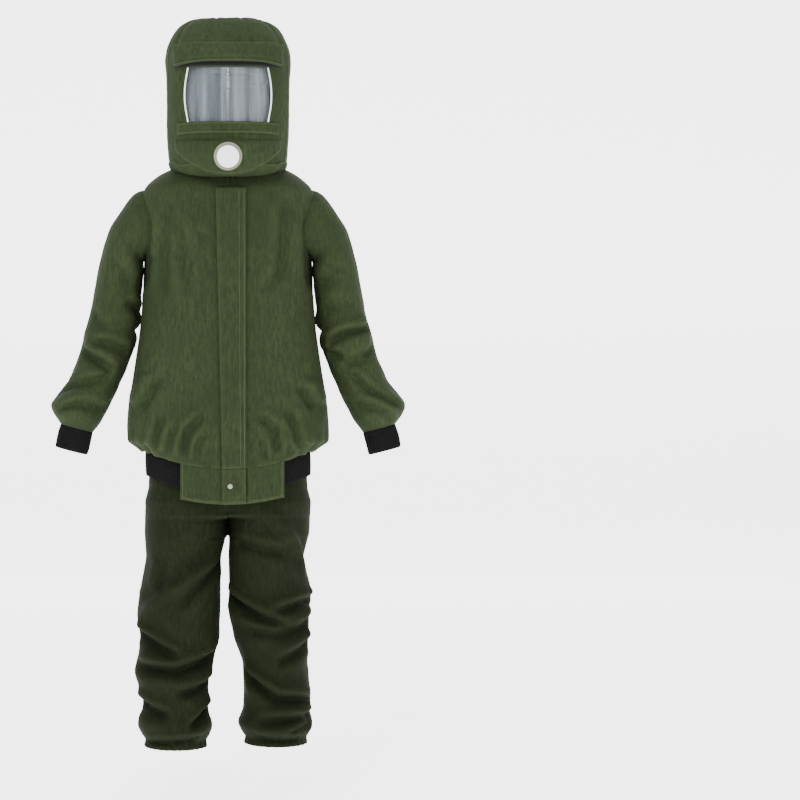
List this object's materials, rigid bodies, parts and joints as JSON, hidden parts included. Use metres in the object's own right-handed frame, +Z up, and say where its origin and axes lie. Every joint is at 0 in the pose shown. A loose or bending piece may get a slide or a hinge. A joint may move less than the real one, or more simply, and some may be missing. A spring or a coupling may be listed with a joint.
{
  "type": "chemical protective suit",
  "caption": "Green two-piece chemical protective suit: hooded jacket with clear visor, brow flap and exhalation valve, knitted cuffs and waist, and gathered trousers.",
  "frame": {"origin": "middle of the neckline, where the suit hangs on the wearer's shoulders", "axes": "+Z up the body, -Y to the front, +X to the wearer's left"},
  "size_m": [0.8502, 0.348, 1.723],
  "materials": {
    "cloth_green": "heavy twill, matt, faint sheen",
    "cloth_trousers": "heavy twill, matt, a shade darker",
    "rib_black": "knitted rib",
    "mesh_black": "fine woven mesh",
    "tape_black": "hook-and-loop and zip tape",
    "webbing": "flat webbing",
    "piping_white": "smooth piping",
    "lens_clear": "clear sheet",
    "gasket_black": "soft rubber",
    "gasket_grey": "soft rubber",
    "valve_white": "satin white",
    "plastic_grey": "moulded",
    "plastic_black": "moulded",
    "snap_metal": "brushed",
    "slider_metal": "dull"
  },
  "bodies": {
    "jacket": {"jacket_back": "cloth_green", "jacket_side_left": "cloth_green", "jacket_side_right": "cloth_green", "jacket_front_left": "cloth_green", "jacket_front_right": "cloth_green", "collar_band": "cloth_green", "hanger_loop": "cloth_green", "waist_rib": "rib_black", "hem_tab_left": "cloth_green", "hem_tab_right": "cloth_green", "zip_tapes": "tape_black", "zip_teeth": "plastic_black", "snap_stud": "snap_metal", "neck_skirt": "cloth_green", "shoulder_gusset_left": "cloth_green", "shoulder_gusset_right": "cloth_green"},
    "hood": {"hood_crown": "cloth_green", "hood_face_panel": "cloth_green", "hood_side_left": "cloth_green", "hood_side_right": "cloth_green", "hood_back_panel": "cloth_green", "hood_vent_mesh": "mesh_black", "chin_bib": "cloth_green", "window_sill_band": "cloth_green", "window_gasket": "gasket_black", "window_piping": "piping_white", "visor_lens": "lens_clear", "brow_loop_tape": "tape_black", "valve_body": "plastic_black", "valve_gasket": "gasket_grey", "head_band": "plastic_black", "crown_straps": "webbing"},
    "brow_flap": {"brow_flap": "cloth_green", "brow_hook_tape": "tape_black"},
    "valve_cap": {"valve_cap": "valve_white"},
    "valve_diaphragm": {"valve_diaphragm": "gasket_black"},
    "size_slider": {"size_slider": "plastic_grey"},
    "storm_flap": {"storm_flap": "cloth_green", "flap_hem_end": "cloth_green", "snap_cap": "snap_metal"},
    "zip_slider": {"zip_slider": "slider_metal"},
    "zip_pull": {"zip_pull": "slider_metal"},
    "upper_arm_left": {"sleeve_upper_left": "cloth_green", "sleeve_elbow_left": "cloth_green"},
    "upper_arm_right": {"sleeve_upper_right": "cloth_green", "sleeve_elbow_right": "cloth_green"},
    "forearm_left": {"sleeve_lower_left": "cloth_green", "cuff_left": "rib_black"},
    "forearm_right": {"sleeve_lower_right": "cloth_green", "cuff_right": "rib_black"},
    "trousers": {"trousers_waistband": "cloth_trousers", "trousers_front": "cloth_trousers", "trousers_back": "cloth_trousers", "knee_left": "cloth_trousers", "knee_right": "cloth_trousers"},
    "shin_left": {"shin_left": "cloth_trousers", "hem_casing_left": "cloth_trousers"},
    "shin_right": {"shin_right": "cloth_trousers", "hem_casing_right": "cloth_trousers"}
  },
  "joints": [
    {"name": "hood_nod", "type": "hinge", "parent": "jacket", "child": "hood", "pos_m": [0, 0.02, 0.01], "axis": [1, 0, 0], "range_deg": [-8, 8], "deforming": ["neck_skirt"]},
    {"name": "brow_flap_hinge", "type": "hinge", "parent": "hood", "child": "brow_flap", "pos_m": [0, -0.1685, 0.283], "axis": [-1, 0, 0], "range_deg": [0, 75]},
    {"name": "valve_cap_twist", "type": "hinge", "parent": "hood", "child": "valve_cap", "pos_m": [0, -0.18095, 0.02152], "axis": [0, -0.9703, -0.2419], "range_deg": [0, 40]},
    {"name": "valve_diaphragm_lift", "type": "slide", "parent": "hood", "child": "valve_diaphragm", "axis": [0, -0.9703, -0.2419], "range_m": [0, 0.0015], "stiffness_N_per_m": 12, "springref_m": -0.001},
    {"name": "size_slider_travel", "type": "slide", "parent": "hood", "child": "size_slider", "axis": [1, 0, 0], "range_m": [-0.008, 0.008]},
    {"name": "storm_flap_hinge", "type": "hinge", "parent": "jacket", "child": "storm_flap", "pos_m": [0.042, -0.13092, -0.33398], "axis": [0, 0.0611, 0.9981], "range_deg": [0, 150]},
    {"name": "zip_slider_travel", "type": "slide", "parent": "jacket", "child": "zip_slider", "axis": [0, -0.0611, -0.9981], "range_m": [0, 0.6]},
    {"name": "zip_pull_hinge", "type": "hinge", "parent": "zip_slider", "child": "zip_pull", "pos_m": [0.005, -0.10717, -0.06092], "axis": [-1, 0, 0], "range_deg": [0, 8]},
    {"name": "shoulder_left", "type": "hinge", "parent": "jacket", "child": "upper_arm_left", "pos_m": [0.2, 0.02, -0.1], "axis": [0, -1, 0], "range_deg": [0, 45], "deforming": ["shoulder_gusset_left"]},
    {"name": "elbow_left", "type": "hinge", "parent": "upper_arm_left", "child": "forearm_left", "pos_m": [0.283, -0.012, -0.392], "axis": [-1, 0, 0], "range_deg": [0, 55], "deforming": ["sleeve_elbow_left"]},
    {"name": "shoulder_right", "type": "hinge", "parent": "jacket", "child": "upper_arm_right", "pos_m": [-0.2, 0.02, -0.1], "axis": [0, 1, 0], "range_deg": [0, 45], "deforming": ["shoulder_gusset_right"]},
    {"name": "elbow_right", "type": "hinge", "parent": "upper_arm_right", "child": "forearm_right", "pos_m": [-0.283, -0.012, -0.392], "axis": [-1, 0, 0], "range_deg": [0, 55], "deforming": ["sleeve_elbow_right"]},
    {"name": "trousers_slide", "type": "slide", "parent": "jacket", "child": "trousers", "axis": [0, 0, -1], "range_m": [0, 0.2]},
    {"name": "knee_left", "type": "hinge", "parent": "trousers", "child": "shin_left", "pos_m": [0.098, 0.028, -1.045], "axis": [1, 0, 0], "range_deg": [-55, 0], "deforming": ["knee_left"]},
    {"name": "knee_right", "type": "hinge", "parent": "trousers", "child": "shin_right", "pos_m": [-0.118, 0.028, -1.045], "axis": [1, 0, 0], "range_deg": [-55, 0], "deforming": ["knee_right"]}
  ]
}
